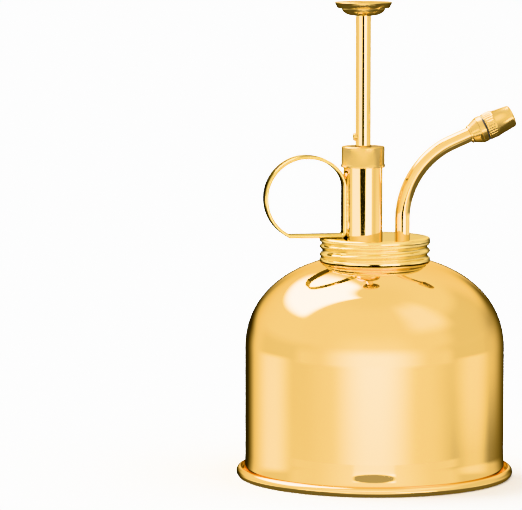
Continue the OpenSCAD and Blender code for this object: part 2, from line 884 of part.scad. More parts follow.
// Stud that keeps the plunger up when it is turned away from the barrel cap's notch
module lock_stud() {
    color("goldenrod")
        on_barrel()
            translate([0, 0, stud_z])
                rotate([0, -90, 0]) {
                    rod_at(0, stud_shank_r, rod_r - stud_shank_l + face_gap, rod_r + stud_out / 2);
                    difference() {
                        intersection() {
                            rod_at(0, stud_r, rod_r / 2, rod_r + stud_out);
                            translate([0, 0, rod_r + stud_out - 2 * stud_r]) sphere(r = 2 * stud_r);
                        }
                        rotate([0, 90, 0]) cylinder(r = rod_r + seat_gap, h = 4 * stud_r, center = true);
                    }
                }
}

module piston() {
    color("goldenrod") on_barrel() ring(piston_r, spigot_r + seat_gap, piston_bottom, piston_h);
}

// Leather cup that seals the bore on the down stroke
module piston_cup() {
    color("saddlebrown")
        on_barrel()
            difference() {
                rod_at(0, cup_r, piston_bottom - cup_h, piston_bottom - seat_gap);
                rod_at(0, cup_r - cup_wall, piston_bottom - cup_h - cut, piston_bottom - cup_t);
                rod_at(0, spigot_r + seat_gap, piston_bottom - cup_h, piston_bottom + cut);
            }
}

module cup_washer() {
    color("goldenrod")
        on_barrel() ring(cup_washer_r, spigot_r + seat_gap, washer_bottom, cup_washer_t - seat_gap);
}

module piston_nut() {
    color("goldenrod")
        on_barrel()
            translate([0, 0, nut_bottom])
                difference() {
                    cylinder(r = nut_r, h = nut_h - seat_gap, $fn = 6);
                    translate([0, 0, -cut]) cylinder(r = spigot_r + seat_gap, h = nut_h + 2 * cut);
                }
}

bell_body();
base_plate();
threaded_neck();
cap_gasket();
screw_cap();
pump_barrel();
barrel_cap();
buffer_washer();
finger_ring();
ring_solder();
seam_solder();
spout_tube();
nozzle_body();
nozzle_washer();
swirl_core();
nozzle_cap();
valve_body();
inlet_ball();
inlet_pin();
outlet_ball();
outlet_pin();
passage_plug();
suction_strainer();
spring_seat();
return_spring();
plunger_button();
plunger_rod();
lock_stud();
piston();
piston_cup();
cup_washer();
piston_nut();
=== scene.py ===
"""Looks of the brass plant mister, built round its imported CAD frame."""
import math

import bpy
from mathutils import Matrix, Vector


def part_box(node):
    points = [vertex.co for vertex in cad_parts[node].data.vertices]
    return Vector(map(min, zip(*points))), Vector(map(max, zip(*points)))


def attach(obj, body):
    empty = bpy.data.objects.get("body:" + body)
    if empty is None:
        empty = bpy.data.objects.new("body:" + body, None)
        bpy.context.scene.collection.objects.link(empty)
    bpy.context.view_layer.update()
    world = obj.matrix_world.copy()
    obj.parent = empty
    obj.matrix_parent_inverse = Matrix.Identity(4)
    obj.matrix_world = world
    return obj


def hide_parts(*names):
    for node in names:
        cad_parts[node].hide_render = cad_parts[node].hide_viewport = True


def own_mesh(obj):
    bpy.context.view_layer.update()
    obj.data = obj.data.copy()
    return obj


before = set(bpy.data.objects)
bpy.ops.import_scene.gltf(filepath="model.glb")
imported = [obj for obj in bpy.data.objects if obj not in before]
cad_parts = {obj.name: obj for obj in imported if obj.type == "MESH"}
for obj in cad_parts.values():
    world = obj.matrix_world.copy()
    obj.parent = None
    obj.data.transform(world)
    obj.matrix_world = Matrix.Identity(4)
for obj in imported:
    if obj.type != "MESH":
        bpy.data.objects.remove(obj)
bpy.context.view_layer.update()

MM = 0.001
GAP = 0.02
SHEET = 0.8

# ---------------------------------------------------------------- sizes, in mm


def box_mm(node):
    """Lowest and highest corner of a CAD node, in mm."""
    low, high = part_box(node)
    return low / MM, high / MM


def middle(node, axis):
    low, high = box_mm(node)
    return (low[axis] + high[axis]) / 2


RIM_R_OUT = -box_mm("base_plate")[0].y
RIM_D = 3.2
RIM_CX = RIM_R_OUT - RIM_D / 2

BELL_R = 41.5
WALL_H = 41.0
DOME_H = 30.5
DOME_POWER = 2.2
FOOT_FLARE = 0.3
FOOT_FLARE_H = 8.0
FOOT_FILLET = 1.2
FOOT_FILLET_X = BELL_R + FOOT_FLARE + FOOT_FILLET
FLANGE_R = RIM_CX + RIM_D / 4
FLANGE_Z = SHEET + GAP

CAP_Z = box_mm("screw_cap")[0].z
CAP_TOP = box_mm("screw_cap")[1].z
CAP_R = -box_mm("screw_cap")[0].y
CAP_SHEET = 0.6
CAP_PLATE = 0.8
CAP_DISC_R = CAP_R - 3.0
AIR_HOLE_Y = 10.0
AIR_HOLE_R = 0.6
THREAD_PITCH = 2.6
THREAD_AMP = 0.45
THREAD_RUN = 0.8
NECK_MEAN_R = CAP_R - THREAD_AMP - CAP_SHEET - 0.3
NECK_ROOT_R = NECK_MEAN_R - THREAD_AMP
NECK_HOLE_R = NECK_ROOT_R + 0.05
NECK_BORE_R = NECK_ROOT_R - 0.95
NECK_Z = box_mm("threaded_neck")[0].z
NECK_TOP = box_mm("threaded_neck")[1].z

BARREL_X = middle("pump_barrel", 0)
BARREL_R = 6.3
BARREL_BORE_R = 5.4
BARREL_THREAD_R = BARREL_R - 0.35
BARREL_FOOT = box_mm("pump_barrel")[0].z
BARREL_TOP = box_mm("pump_barrel")[1].z
BARREL_CAP_Z = box_mm("barrel_cap")[0].z
BARREL_CAP_TOP = box_mm("barrel_cap")[1].z
BARREL_CAP_R = 6.95
BARREL_LIP = 0.15
BARREL_CAP_TOP_T = 1.2
ROD_HOLE_R = 2.9
NOTCH_R = 1.5
NOTCH_REACH = 4.0

ROD_R = 2.45
ROD_END = box_mm("plunger_rod")[0].z
PISTON_TOP = box_mm("piston")[1].z
SPIGOT_R = 1.5
BUTTON_TOP = box_mm("plunger_button")[1].z
BUTTON_Z = box_mm("plunger_button")[0].z
BUTTON_R = -box_mm("plunger_button")[0].y
BUTTON_RIM_H = 2.0
BUTTON_RIM_IN = 0.8
BUTTON_STEP = 1.4
BUTTON_BOSS_R = 2.9
BUTTON_EDGE = 0.25
BUTTON_DISH = 1.6
STUD_Z = middle("lock_stud", 2)
STUD_R = 1.2
STUD_OUT = 0.9
STUD_HEAD = 0.4
STUD_SHANK_R = 0.8
STUD_IN = 1.3

RING_LOW, RING_HIGH = box_mm("finger_ring")
RING_W = RING_HIGH.y - RING_LOW.y
RING_FACE_X = RING_HIGH.x
RING_BOTTOM = RING_LOW.z
RING_R = 13.8
RING_CUT = 1.3
RING_FLAT = 12.5
RING_SHOULDER_R = 9.0
RING_CORNER_R = 1.7
RING_T = 1.1
RING_EDGE = 0.46

SPOUT_X = 8.9
SPOUT_R = 2.4
SPOUT_BORE_R = 1.7
SPOUT_FOOT = box_mm("spout_tube")[0].z
BEND_R = 27.0
BEND_A = math.radians(66.6)
BEND_Z = CAP_TOP + 5.2
SPOUT_RUN = 5.9
SPOUT_STRAIGHT = 6.0
TUBE_IN = 4.0

NOZZLE_R = 4.35
NOZZLE_SMALL_R = 3.0
NOZZLE_BODY_L = 5.1
NOZZLE_COLLAR_L = 0.6
NOZZLE_BAND_L = 1.7
NOZZLE_FLAT_R = 3.95
SCREW_R = 2.6
SCREW_L = 4.1
NOZZLE_BORE_R = 1.2
SOCKET_L = 4.05
NOZZLE_CAP_START = 5.65
NOZZLE_CAP_END = 15.25
NOZZLE_TIP_R = 3.65
NOZZLE_TIP_ROUND = 0.9
KNURL_L = 3.2
KNURL_COUNT = 30
KNURL_DEPTH = 0.16
SPRAY_R = 0.35
SPRAY_FLARE = 0.12
SCREW_ROOM_R = 2.9
SCREW_ROOM_L = 3.95
SWIRL_ROOM_R = 2.25
SWIRL_ROOM_L = 3.4

# --------------------------------------------------------------- mesh helpers


def arc(cx, cy, r, start, end, steps):
    """Points along an arc about (cx, cy), angles in degrees."""
    out = []
    for i in range(steps + 1):
        a = math.radians(start + (end - start) * i / steps)
        out.append((cx + r * math.cos(a), cy + r * math.sin(a)))
    return out


def piece(name, verts, faces, body, nodes, material, at=None, sharp=38):
    """A mesh piece, in mm, that rides a body and stands for CAD nodes."""
    mesh = bpy.data.meshes.new(name)
    mesh.from_pydata([Vector(v) * MM for v in verts], [], faces)
    if at is not None:
        mesh.transform(at)
    mesh.validate()
    mesh.polygons.foreach_set("use_smooth", [True] * len(mesh.polygons))
    mesh.set_sharp_from_angle(angle=math.radians(sharp))
    mesh.update()
    mesh.materials.append(material)
    obj = bpy.data.objects.new(name, mesh)
    bpy.context.scene.collection.objects.link(obj)
    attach(obj, body)
    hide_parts(*nodes)
    return obj


def grid_faces(rows, cols, closed_rows):
    """Quads between rings of cols points, where each ring closes on itself."""
    faces = []
    last = rows if closed_rows else rows - 1
    for j in range(last):
        k = (j + 1) % rows
        for i in range(cols):
            n = (i + 1) % cols
            faces.append((j * cols + i, j * cols + n, k * cols + n, k * cols + i))
    return faces


def polar(profile, sides, radius=None, closed=True):
    """Surface of revolution of (r, z) points. radius(r, z, angle, row) may reshape it."""
    verts = []
    for row, (r, z) in enumerate(profile):
        for i in range(sides):
            a = 2 * math.pi * i / sides
            rr = radius(r, z, a, row) if radius else r
            verts.append((rr * math.cos(a), rr * math.sin(a), z))
    return verts, grid_faces(len(profile), sides, closed)


def cap_end(verts, faces, ring, centre, flip):
    """Closes a surface with a fan from the ring of vertex numbers to a centre point."""
    verts.append(centre)
    tip = len(verts) - 1
    for i, a in enumerate(ring):
        b = ring[(i + 1) % len(ring)]
        faces.append((b, a, tip) if flip else (a, b, tip))


def lathe_solid(profile, sides, radius=None):
    """Solid of revolution whose profile runs from the axis to the axis."""
    verts, faces = polar(profile[1:-1], sides, radius, closed=False)
    rows = len(profile) - 2
    cap_end(verts, faces, list(range(sides)), (0, 0, profile[0][1]), True)
    ring = [(rows - 1) * sides + i for i in range(sides)]
    cap_end(verts, faces, ring, (0, 0, profile[-1][1]), False)
    return verts, faces


def plate(outline, holes, low, high):
    """Flat plate with holes, from outlines of (x, y) points."""
    curve = bpy.data.curves.new("plate", "CURVE")
    curve.dimensions = "2D"
    curve.fill_mode = "BOTH"
    curve.extrude = (high - low) / 2
    for loop in [outline] + holes:
        spline = curve.splines.new("POLY")
        spline.points.add(len(loop) - 1)
        for point, (x, y) in zip(spline.points, loop):
            point.co = (x, y, 0, 1)
        spline.use_cyclic_u = True
    obj = bpy.data.objects.new("plate", curve)
    bpy.context.scene.collection.objects.link(obj)
    bpy.context.view_layer.update()
    mesh = bpy.data.meshes.new_from_object(obj)
    verts = [(v.co.x, v.co.y, v.co.z + (low + high) / 2) for v in mesh.vertices]
    faces = [tuple(p.vertices) for p in mesh.polygons]
    bpy.data.objects.remove(obj)
    bpy.data.curves.remove(curve)
    return verts, faces


def joined(*parts):
    """Several (verts, faces) as one."""
    verts, faces = [], []
    for v, f in parts:
        base = len(verts)
        verts.extend(v)
        faces.extend(tuple(i + base for i in face) for face in f)
    return verts, faces


def circle(cx, cy, r, steps=96):
    return arc(cx, cy, r, 0, 360, steps)[:-1]


def moved(x, y, z):
    return Matrix.Translation(Vector((x, y, z)) * MM)


# ------------------------------------------------------------------ materials


class Nodes:
    """Short way to write a node tree."""

    def __init__(self, tree):
        self.tree = tree
        tree.nodes.clear()

    def add(self, kind, inputs=None, **settings):
        node = self.tree.nodes.new(kind)
        for key, value in settings.items():
            setattr(node, key, value)
        for key, value in (inputs or {}).items():
            self.put(node, key, value)
        return node

    def put(self, node, key, value):
        if isinstance(value, bpy.types.NodeSocket):
            self.tree.links.new(value, node.inputs[key])
        else:
            node.inputs[key].default_value = value

    def math(self, operation, a, b=0.0):
        return self.add("ShaderNodeMath", {0: a, 1: b}, operation=operation).outputs[0]

    def wrap(self, degrees):
        """Brings an angle into the half turn on each side of zero."""
        inputs = {0: degrees, 1: 180.0, 2: -180.0}
        return self.add("ShaderNodeMath", inputs, operation="WRAP").outputs[0]

    def spread(self, value, low, high, to_low=0.0, to_high=1.0):
        """Maps value smoothly from low..high to to_low..to_high, held at both ends."""
        inputs = {"Value": value, "From Min": low, "From Max": high, "To Min": to_low, "To Max": to_high}
        return self.add("ShaderNodeMapRange", inputs, interpolation_type="SMOOTHSTEP").outputs["Result"]

    def mix(self, factor, a, b):
        """Colour between a and b."""
        node = self.add("ShaderNodeMix", data_type="RGBA")
        self.put(node, 0, factor)
        self.put(node, 6, a)
        self.put(node, 7, b)
        return node.outputs[2]

    def blend(self, factor, a, b):
        """Number between a and b."""
        node = self.add("ShaderNodeMix", data_type="FLOAT")
        self.put(node, 0, factor)
        self.put(node, 2, a)
        self.put(node, 3, b)
        return node.outputs[0]

    def noise(self, vector, scale, detail=4.0, roughness=0.55):
        inputs = {"Vector": vector, "Scale": scale, "Detail": detail, "Roughness": roughness}
        return self.add("ShaderNodeTexNoise", inputs).outputs["Fac"]


def rgb(r, g, b):
    return (r, g, b, 1.0)


WORN_BRASS = rgb(0.97, 0.86, 0.60)
CLOUD_SCALE = 60.0
SPECK_SCALE = 900.0
GRAIN_SCALE = 1500.0
TURNING_SCALE = 5200.0
PIT_SCALE = 2600.0
WAVE_SCALE = 22.0


def new_material(name):
    material = bpy.data.materials.new(name)
    material.use_nodes = True
    return material, Nodes(material.node_tree)


def turned_vector(nodes, position, centre, tilt):
    """Coordinates that run fast along the radius and the axis of turning, and slowly round it."""
    local = nodes.add("ShaderNodeVectorMath", {0: position, 1: centre}, operation="SUBTRACT").outputs[0]
    inputs = {"Vector": local, "Angle": -tilt}
    level = nodes.add("ShaderNodeVectorRotate", inputs, rotation_type="Y_AXIS").outputs[0]
    x, y, z = nodes.add("ShaderNodeSeparateXYZ", {0: level}).outputs
    squares = nodes.math("ADD", nodes.math("MULTIPLY", x, x), nodes.math("MULTIPLY", y, y))
    radius = nodes.math("SQRT", squares)
    turn = nodes.math("MULTIPLY", nodes.math("ARCTAN2", y, x), 0.0004)
    return nodes.add("ShaderNodeCombineXYZ", {0: radius, 1: turn, 2: z}).outputs[0]


def metal(name, light, dark, rough, grain, turned=None, coat=0.0, tarnish=0.3, wave=0.0):
    """Metal with cloudy polish, fine grain or turning lines, and brighter worn edges."""
    material, nodes = new_material(name)
    position = nodes.add("ShaderNodeTexCoord").outputs["Object"]
    clouds = nodes.noise(position, CLOUD_SCALE, 5.0)
    specks = nodes.noise(position, SPECK_SCALE, 3.0)
    worn = nodes.spread(nodes.add("ShaderNodeNewGeometry").outputs["Pointiness"], 0.52, 0.6)
    cloudiness = nodes.math("MULTIPLY", nodes.spread(clouds, 0.42, 0.75), tarnish)
    color = nodes.mix(cloudiness, light, dark)
    color = nodes.mix(nodes.math("MULTIPLY", worn, 0.2), color, WORN_BRASS)
    rough_clouds = nodes.spread(clouds, 0.3, 0.75, rough[0], rough[1])
    rough_value = nodes.math("ADD", rough_clouds, nodes.spread(specks, 0.5, 0.8, 0.0, rough[1] * 0.25))
    if turned:
        lines = nodes.noise(turned_vector(nodes, position, *turned), TURNING_SCALE, 3.0, 0.6)
        pits = nodes.noise(position, PIT_SCALE, 2.0, 0.6)
        lines = nodes.math("ADD", lines, nodes.math("MULTIPLY", pits, 0.8))
    else:
        lines = nodes.noise(position, GRAIN_SCALE, 3.0, 0.6)
    bump = nodes.add("ShaderNodeBump", {"Strength": grain, "Distance": 0.00002, "Height": lines})
    if wave:
        broad = nodes.noise(position, WAVE_SCALE, 2.0)
        bump = nodes.add("ShaderNodeBump", {
            "Strength": wave, "Distance": 0.001, "Height": broad, "Normal": bump.outputs[0]})
    shader = nodes.add("ShaderNodeBsdfPrincipled", {
        "Base Color": color, "Metallic": 1.0, "Roughness": rough_value, "Normal": bump.outputs[0],
        "Specular Tint": light, "Coat Weight": coat, "Coat Roughness": 0.03, "Coat IOR": 1.5})
    nodes.add("ShaderNodeOutputMaterial", {"Surface": shader.outputs[0]})
    return material


def soft_material(name, light, dark, rough, grain_scale, grain):
    """Rubber or leather: mottled colour, grain and rubbed spots."""
    material, nodes = new_material(name)
    position = nodes.add("ShaderNodeTexCoord").outputs["Object"]
    mottle = nodes.noise(position, 250.0, 5.0)
    pores = nodes.add("ShaderNodeTexVoronoi", {"Vector": position, "Scale": grain_scale}).outputs["Distance"]
    color = nodes.mix(nodes.spread(mottle, 0.35, 0.7), dark, light)
    rough_value = nodes.spread(mottle, 0.3, 0.7, rough[0], rough[1])
    bump = nodes.add("ShaderNodeBump", {"Strength": grain, "Distance": 0.0001, "Height": pores})
    shader = nodes.add("ShaderNodeBsdfPrincipled", {
        "Base Color": color, "Roughness": rough_value, "Normal": bump.outputs[0]})
    nodes.add("ShaderNodeOutputMaterial", {"Surface": shader.outputs[0]})
    return material


BARREL_AXIS = ((BARREL_X * MM, 0, 0), 0.0)
BEND_END = ((SPOUT_X + BEND_R * (1 - math.cos(BEND_A))) * MM, 0, (BEND_Z + BEND_R * math.sin(BEND_A)) * MM)
NOZZLE_AXIS = (BEND_END, BEND_A)
POLISHED = metal("polished_brass", rgb(0.94, 0.77, 0.48), rgb(0.90, 0.72, 0.43), (0.02, 0.05), 0.03,
                 coat=0.15, tarnish=0.3, wave=0.02)
RING_BRASS = metal("ring_brass", rgb(0.60, 0.52, 0.29), rgb(0.48, 0.40, 0.21), (0.05, 0.12), 0.08,
                   coat=0.15, tarnish=0.5, wave=0.02)
COLLAR_BRASS = metal("collar_brass", rgb(0.92, 0.82, 0.56), rgb(0.86, 0.75, 0.48), (0.02, 0.05), 0.03,
                     coat=0.15, tarnish=0.3, wave=0.02)
SATIN_LOOK = (rgb(0.66, 0.54, 0.33), rgb(0.42, 0.33, 0.19), (0.15, 0.24), 0.35)
SATIN = metal("satin_brass", *SATIN_LOOK, turned=BARREL_AXIS, tarnish=0.5)
SATIN_NOZZLE = metal("satin_brass_nozzle", *SATIN_LOOK, turned=NOZZLE_AXIS, tarnish=0.5)
PLAIN = metal("plain_brass", rgb(0.74, 0.58, 0.33), rgb(0.45, 0.34, 0.19), (0.3, 0.5), 0.3,
              turned=BARREL_AXIS, tarnish=0.8)
SOLDER = metal("pale_solder", rgb(0.90, 0.82, 0.66), rgb(0.50, 0.42, 0.30), (0.10, 0.24), 0.3, tarnish=0.7)
STEEL = metal("stainless_steel", rgb(0.66, 0.66, 0.65), rgb(0.50, 0.50, 0.50), (0.15, 0.28), 0.2, tarnish=0.3)
RUBBER = soft_material("black_rubber", rgb(0.035, 0.035, 0.035), rgb(0.015, 0.015, 0.015), (0.45, 0.7),
                       1800.0, 0.3)
LEATHER = soft_material("oiled_leather", rgb(0.23, 0.11, 0.05), rgb(0.11, 0.05, 0.02), (0.4, 0.65),
                        1400.0, 0.5)

# --------------------------------------------------------------------- bottle


def dome_points(inset, r_end, steps):
    """Dome section from the wall up to radius r_end."""
    a = BELL_R - inset
    c = DOME_H - inset
    last = math.acos((r_end / a) ** (DOME_POWER / 2))
    out = []
    for i in range(steps + 1):
        u = last * (i / steps) ** 1.2
        out.append((a * math.cos(u) ** (2 / DOME_POWER), WALL_H + c * math.sin(u) ** (2 / DOME_POWER)))
    return out


def foot_points(inset):
    """Slight flare of the wall above the fillet, from top to bottom."""
    low = FLANGE_Z + SHEET + FOOT_FILLET
    out = []
    for i in range(13):
        t = i / 12
        out.append((BELL_R - inset + FOOT_FLARE * t * t, FOOT_FLARE_H + (low - FOOT_FLARE_H) * t))
    return out


def bell():
    """Spun shell: flange, wall and dome outside, and the same back down inside."""
    fillet_z = FLANGE_Z + SHEET + FOOT_FILLET
    outer = [(FLANGE_R, FLANGE_Z), (FLANGE_R, FLANGE_Z + SHEET)]
    outer += arc(FOOT_FILLET_X, fillet_z, FOOT_FILLET, 270, 180, 10)
    outer += foot_points(0)[::-1][1:]
    outer += [(BELL_R, z) for z in (12, 20, 30)]
    outer += dome_points(0, NECK_HOLE_R, 72)
    inner = dome_points(SHEET, NECK_HOLE_R, 40)[::-1]
    inner += [(BELL_R - SHEET, z) for z in (30, 20)]
    inner += foot_points(SHEET)[:-1]
    inner += arc(FOOT_FILLET_X, fillet_z, FOOT_FILLET + SHEET, 180, 270, 10)
    verts, faces = polar(outer + inner, 256)
    piece("bell_shell", verts, faces, "bottle", ["bell_body"], POLISHED)


def base():
    """Flat bottom whose edge is rolled over the bell's flange."""
    lip_a = math.degrees(math.acos((FOOT_FILLET_X - RIM_CX) / (RIM_D / 2)))
    profile = [(0, 0), (RIM_CX - 2, 0)]
    profile += arc(RIM_CX, RIM_D / 2, RIM_D / 2, -90, lip_a, 32)
    profile += [(FOOT_FILLET_X, FLANGE_Z + SHEET + GAP), (FLANGE_R + GAP, FLANGE_Z + SHEET + GAP)]
    profile += [(FLANGE_R + GAP, SHEET), (RIM_CX - 4, SHEET), (0, SHEET)]
    verts, faces = lathe_solid(profile, 256)
    piece("base_rim", verts, faces, "bottle", ["base_plate"], POLISHED)


def thread_radius(mean, low, high, rest):
    """Radius function of a wall that follows the right-hand thread."""
    def radius(r, z, a, row):
        fade = max(0.0, min(1.0, (z - low) / THREAD_RUN, (high - z) / THREAD_RUN))
        fade = fade * fade * (3 - 2 * fade)
        wave = math.cos(2 * math.pi * z / THREAD_PITCH - a)
        return mean + r + THREAD_AMP * (fade * wave + (1 - fade) * rest)
    return radius


def neck():
    """Threaded neck with a plain bore."""
    rows = 64
    follow = thread_radius(NECK_MEAN_R, CAP_Z + 0.3, NECK_TOP - 0.1, -1)
    def radius(r, z, a, row):
        return follow(0, z, a, row) if row <= rows else r
    profile = [(0, NECK_Z + (NECK_TOP - NECK_Z) * i / rows) for i in range(rows + 1)]
    profile += [(NECK_BORE_R, NECK_TOP), (NECK_BORE_R, NECK_Z)]
    verts, faces = polar(profile, 144, radius)
    piece("neck_thread", verts, faces, "bottle", ["threaded_neck"], PLAIN)


# ------------------------------------------------------------------ screw cap


def cap_shell():
    """Skirt with the rolled thread inside and out, under a rounded shoulder."""
    rows = 72
    plate_z = CAP_TOP - CAP_PLATE
    low = CAP_Z + 0.4
    high = plate_z - 0.3
    outer = thread_radius(CAP_R - THREAD_AMP, low, high, 1)
    inner = thread_radius(CAP_R - THREAD_AMP - CAP_SHEET, low, high, 1)
    levels = [CAP_Z + (plate_z - CAP_Z) * i / rows for i in range(rows + 1)]
    shoulder = arc(CAP_R - CAP_PLATE, plate_z, CAP_PLATE, 0, 90, 8)
    inner_row = rows + 1 + len(shoulder) + 1
    def radius(r, z, a, row):
        if row <= rows:
            return outer(0, z, a, row)
        return inner(0, z, a, row) if row > inner_row else r
    profile = [(0, z) for z in levels] + shoulder
    profile += [(CAP_DISC_R, CAP_TOP), (CAP_DISC_R, plate_z)]
    profile += [(0, z) for z in levels[::-1]]
    return polar(profile, 240, radius)


def screw_cap():
    """Skirt and top, with holes for the barrel, the spout and the air."""
    plate_z = CAP_TOP - CAP_PLATE
    holes = [circle(BARREL_X, 0, BARREL_R + GAP), circle(SPOUT_X, 0, SPOUT_R + GAP)]
    holes += [circle(0, AIR_HOLE_Y, AIR_HOLE_R, 32)]
    top = plate(circle(0, 0, CAP_DISC_R, 240), holes, plate_z, CAP_TOP)
    verts, faces = joined(cap_shell(), top)
    piece("screw_cap_shell", verts, faces, "pump_head", ["screw_cap"], COLLAR_BRASS)


# ----------------------------------------------------------------------- pump


def barrel():
    """Tube that narrows to the thread under its cap."""
    step_z = BARREL_CAP_Z - 0.05
    profile = [(BARREL_R, BARREL_FOOT), (BARREL_R, step_z), (BARREL_THREAD_R, step_z)]
    profile += [(BARREL_THREAD_R, BARREL_TOP), (BARREL_BORE_R, BARREL_TOP), (BARREL_BORE_R, BARREL_FOOT)]
    verts, faces = polar(profile, 128)
    piece("barrel_tube", verts, faces, "pump_head", ["pump_barrel"], POLISHED,
          moved(BARREL_X, 0, 0))


def keyhole():
    """Outline of the rod's hole with its side notch."""
    slot_x = NOTCH_R - NOTCH_REACH
    join_a = math.degrees(math.asin(NOTCH_R / ROD_HOLE_R))
    out = arc(0, 0, ROD_HOLE_R, -180 + join_a, 180 - join_a, 72)
    out += arc(slot_x, 0, NOTCH_R, 90, 270, 24)
    return out


def barrel_cap():
    """Turned cap with a small lip, a rounded top edge and a keyhole for rod and stud."""
    round_r = 0.5
    height = BARREL_CAP_TOP - BARREL_CAP_Z
    lip_r = BARREL_CAP_R + BARREL_LIP
    inner_r = BARREL_R - 0.33
    flat_r = BARREL_CAP_R - 1.5
    ceiling = height - BARREL_CAP_TOP_T
    profile = [(inner_r, 0), (lip_r - 0.1, 0), (lip_r, 0.1), (lip_r, 0.7), (lip_r - 0.05, 0.8)]
    profile += [(BARREL_CAP_R, 0.95)]
    profile += arc(BARREL_CAP_R - round_r, height - round_r, round_r, 0, 90, 8)
    profile += [(flat_r, height), (flat_r, ceiling), (inner_r, ceiling)]
    sides = polar(profile, 128)
    top = plate(circle(0, 0, flat_r, 128), [keyhole()], ceiling, height)
    verts, faces = joined(sides, top)
    piece("barrel_top_cap", verts, faces, "pump_head", ["barrel_cap"], SATIN,
          moved(BARREL_X, 0, BARREL_CAP_Z))


# ---------------------------------------------------------------- finger ring


def ring_outline(t):
    """Outline of the ring's strip, inset by t: shoulder, round part, flat bottom, corner and flat side."""
    x = RING_FACE_X - RING_FLAT
    drop = RING_R - RING_CUT
    z = RING_BOTTOM + drop
    dx = RING_FLAT - RING_SHOULDER_R
    dz = math.sqrt((RING_R - RING_SHOULDER_R) ** 2 - dx ** 2)
    shoulder_a = math.degrees(math.atan2(dz, dx))
    kink_a = 180 + math.degrees(math.asin((drop - t) / (RING_R - t)))
    out = arc(x + dx, z + dz, RING_SHOULDER_R - t, 0, shoulder_a, 24)
    out += arc(x, z, RING_R - t, shoulder_a, kink_a, 120)[1:]
    out += arc(RING_FACE_X - RING_CORNER_R, RING_BOTTOM + RING_CORNER_R, RING_CORNER_R - t, 270, 360, 12)
    return out


def finger_ring():
    """Strip of rounded section bent along the outline, hollowed where it fits round the barrel."""
    half = RING_W / 2
    soft = RING_EDGE
    fit_r = BARREL_R + 0.05
    section = arc(soft, half - soft, soft, 180, 90, 4) + arc(RING_T - soft, half - soft, soft, 90, 0, 4)
    section += arc(RING_T - soft, soft - half, soft, 0, -90, 4) + arc(soft, soft - half, soft, -90, -180, 4)
    section += [(0, (soft - half) * (1 - i / 8)) for i in range(1, 16)]
    loops = [[(x, y, z) for x, z in ring_outline(t)] for t, y in section]
    verts = []
    for loop in loops:
        for x, y, z in loop:
            verts.append((min(x, BARREL_X - math.sqrt(fit_r ** 2 - y ** 2)), y, z))
    faces = grid_faces(len(section), len(loops[0]), True)
    piece("finger_loop", verts, faces, "pump_head", ["finger_ring"], RING_BRASS)


def solder_fillets():
    """Two lumpy runs of solder along the edges of the ring's flat side."""
    low, high = box_mm("ring_solder")
    rows, cols = 96, 12
    x = RING_FACE_X + 0.05
    verts, faces = [], []
    for side in (-1, 1):
        first = len(verts)
        y = side * (RING_W / 2 + 0.12)
        for j in range(rows + 1):
            t = j / rows
            ends = min(1.0, 12 * t, 12 * (1 - t))
            lumps = 0.5 + 0.3 * math.sin(23 * t + side) * math.sin(61 * t)
            lumps += 0.2 * math.sin(107 * t + 2 * side)
            fat = ends * (0.2 + 0.16 * lumps * (0.5 + t))
            for i in range(cols):
                a = 2 * math.pi * i / cols
                verts.append((x + fat * math.cos(a), y + fat * math.sin(a), low.z + (high.z - low.z) * t))
        faces += [tuple(i + first for i in face) for face in grid_faces(rows + 1, cols, False)]
    piece("ring_solder_runs", verts, faces, "pump_head", ["ring_solder"], SOLDER, sharp=80)


# ---------------------------------------------------------- spout and nozzle


def bend_point(a, run):
    """Centre of the spout at angle a round its bend, plus a straight run."""
    x = SPOUT_X + BEND_R * (1 - math.cos(a)) + run * math.sin(a)
    z = BEND_Z + BEND_R * math.sin(a) + run * math.cos(a)
    return Vector((x, 0, z))


def spout_rows(r, sides):
    """Rings of points along the spout, and how many rings there are."""
    stations = [(0, SPOUT_FOOT - BEND_Z), (0, -SPOUT_STRAIGHT)]
    stations += [(BEND_A * i / 64, 0.0) for i in range(65)]
    stations += [(BEND_A, SPOUT_RUN), (BEND_A, SPOUT_RUN + TUBE_IN)]
    out = []
    for a, run in stations:
        centre = bend_point(a, run)
        for i in range(sides):
            s = 2 * math.pi * i / sides
            across = Vector((math.cos(a), 0, -math.sin(a))) * (r * math.cos(s))
            out.append(centre + across + Vector((0, r * math.sin(s), 0)))
    return out, len(stations)


def spout():
    """Bent tube with its bore."""
    sides = 64
    outer, rows = spout_rows(SPOUT_R, sides)
    inner, _ = spout_rows(SPOUT_BORE_R, sides)
    flipped = [inner[j * sides + i] for j in range(rows - 1, -1, -1) for i in range(sides)]
    faces = grid_faces(2 * rows, sides, True)
    piece("spout_pipe", outer + flipped, faces, "pump_head", ["spout_tube"], POLISHED)


def nozzle_frame():
    """Frame with +Z along the spout's end, at the small end of the nozzle body."""
    origin = bend_point(BEND_A, SPOUT_RUN) * MM
    turn = Matrix.Rotation(BEND_A, 4, "Y")
    return Matrix.Translation(origin) @ turn


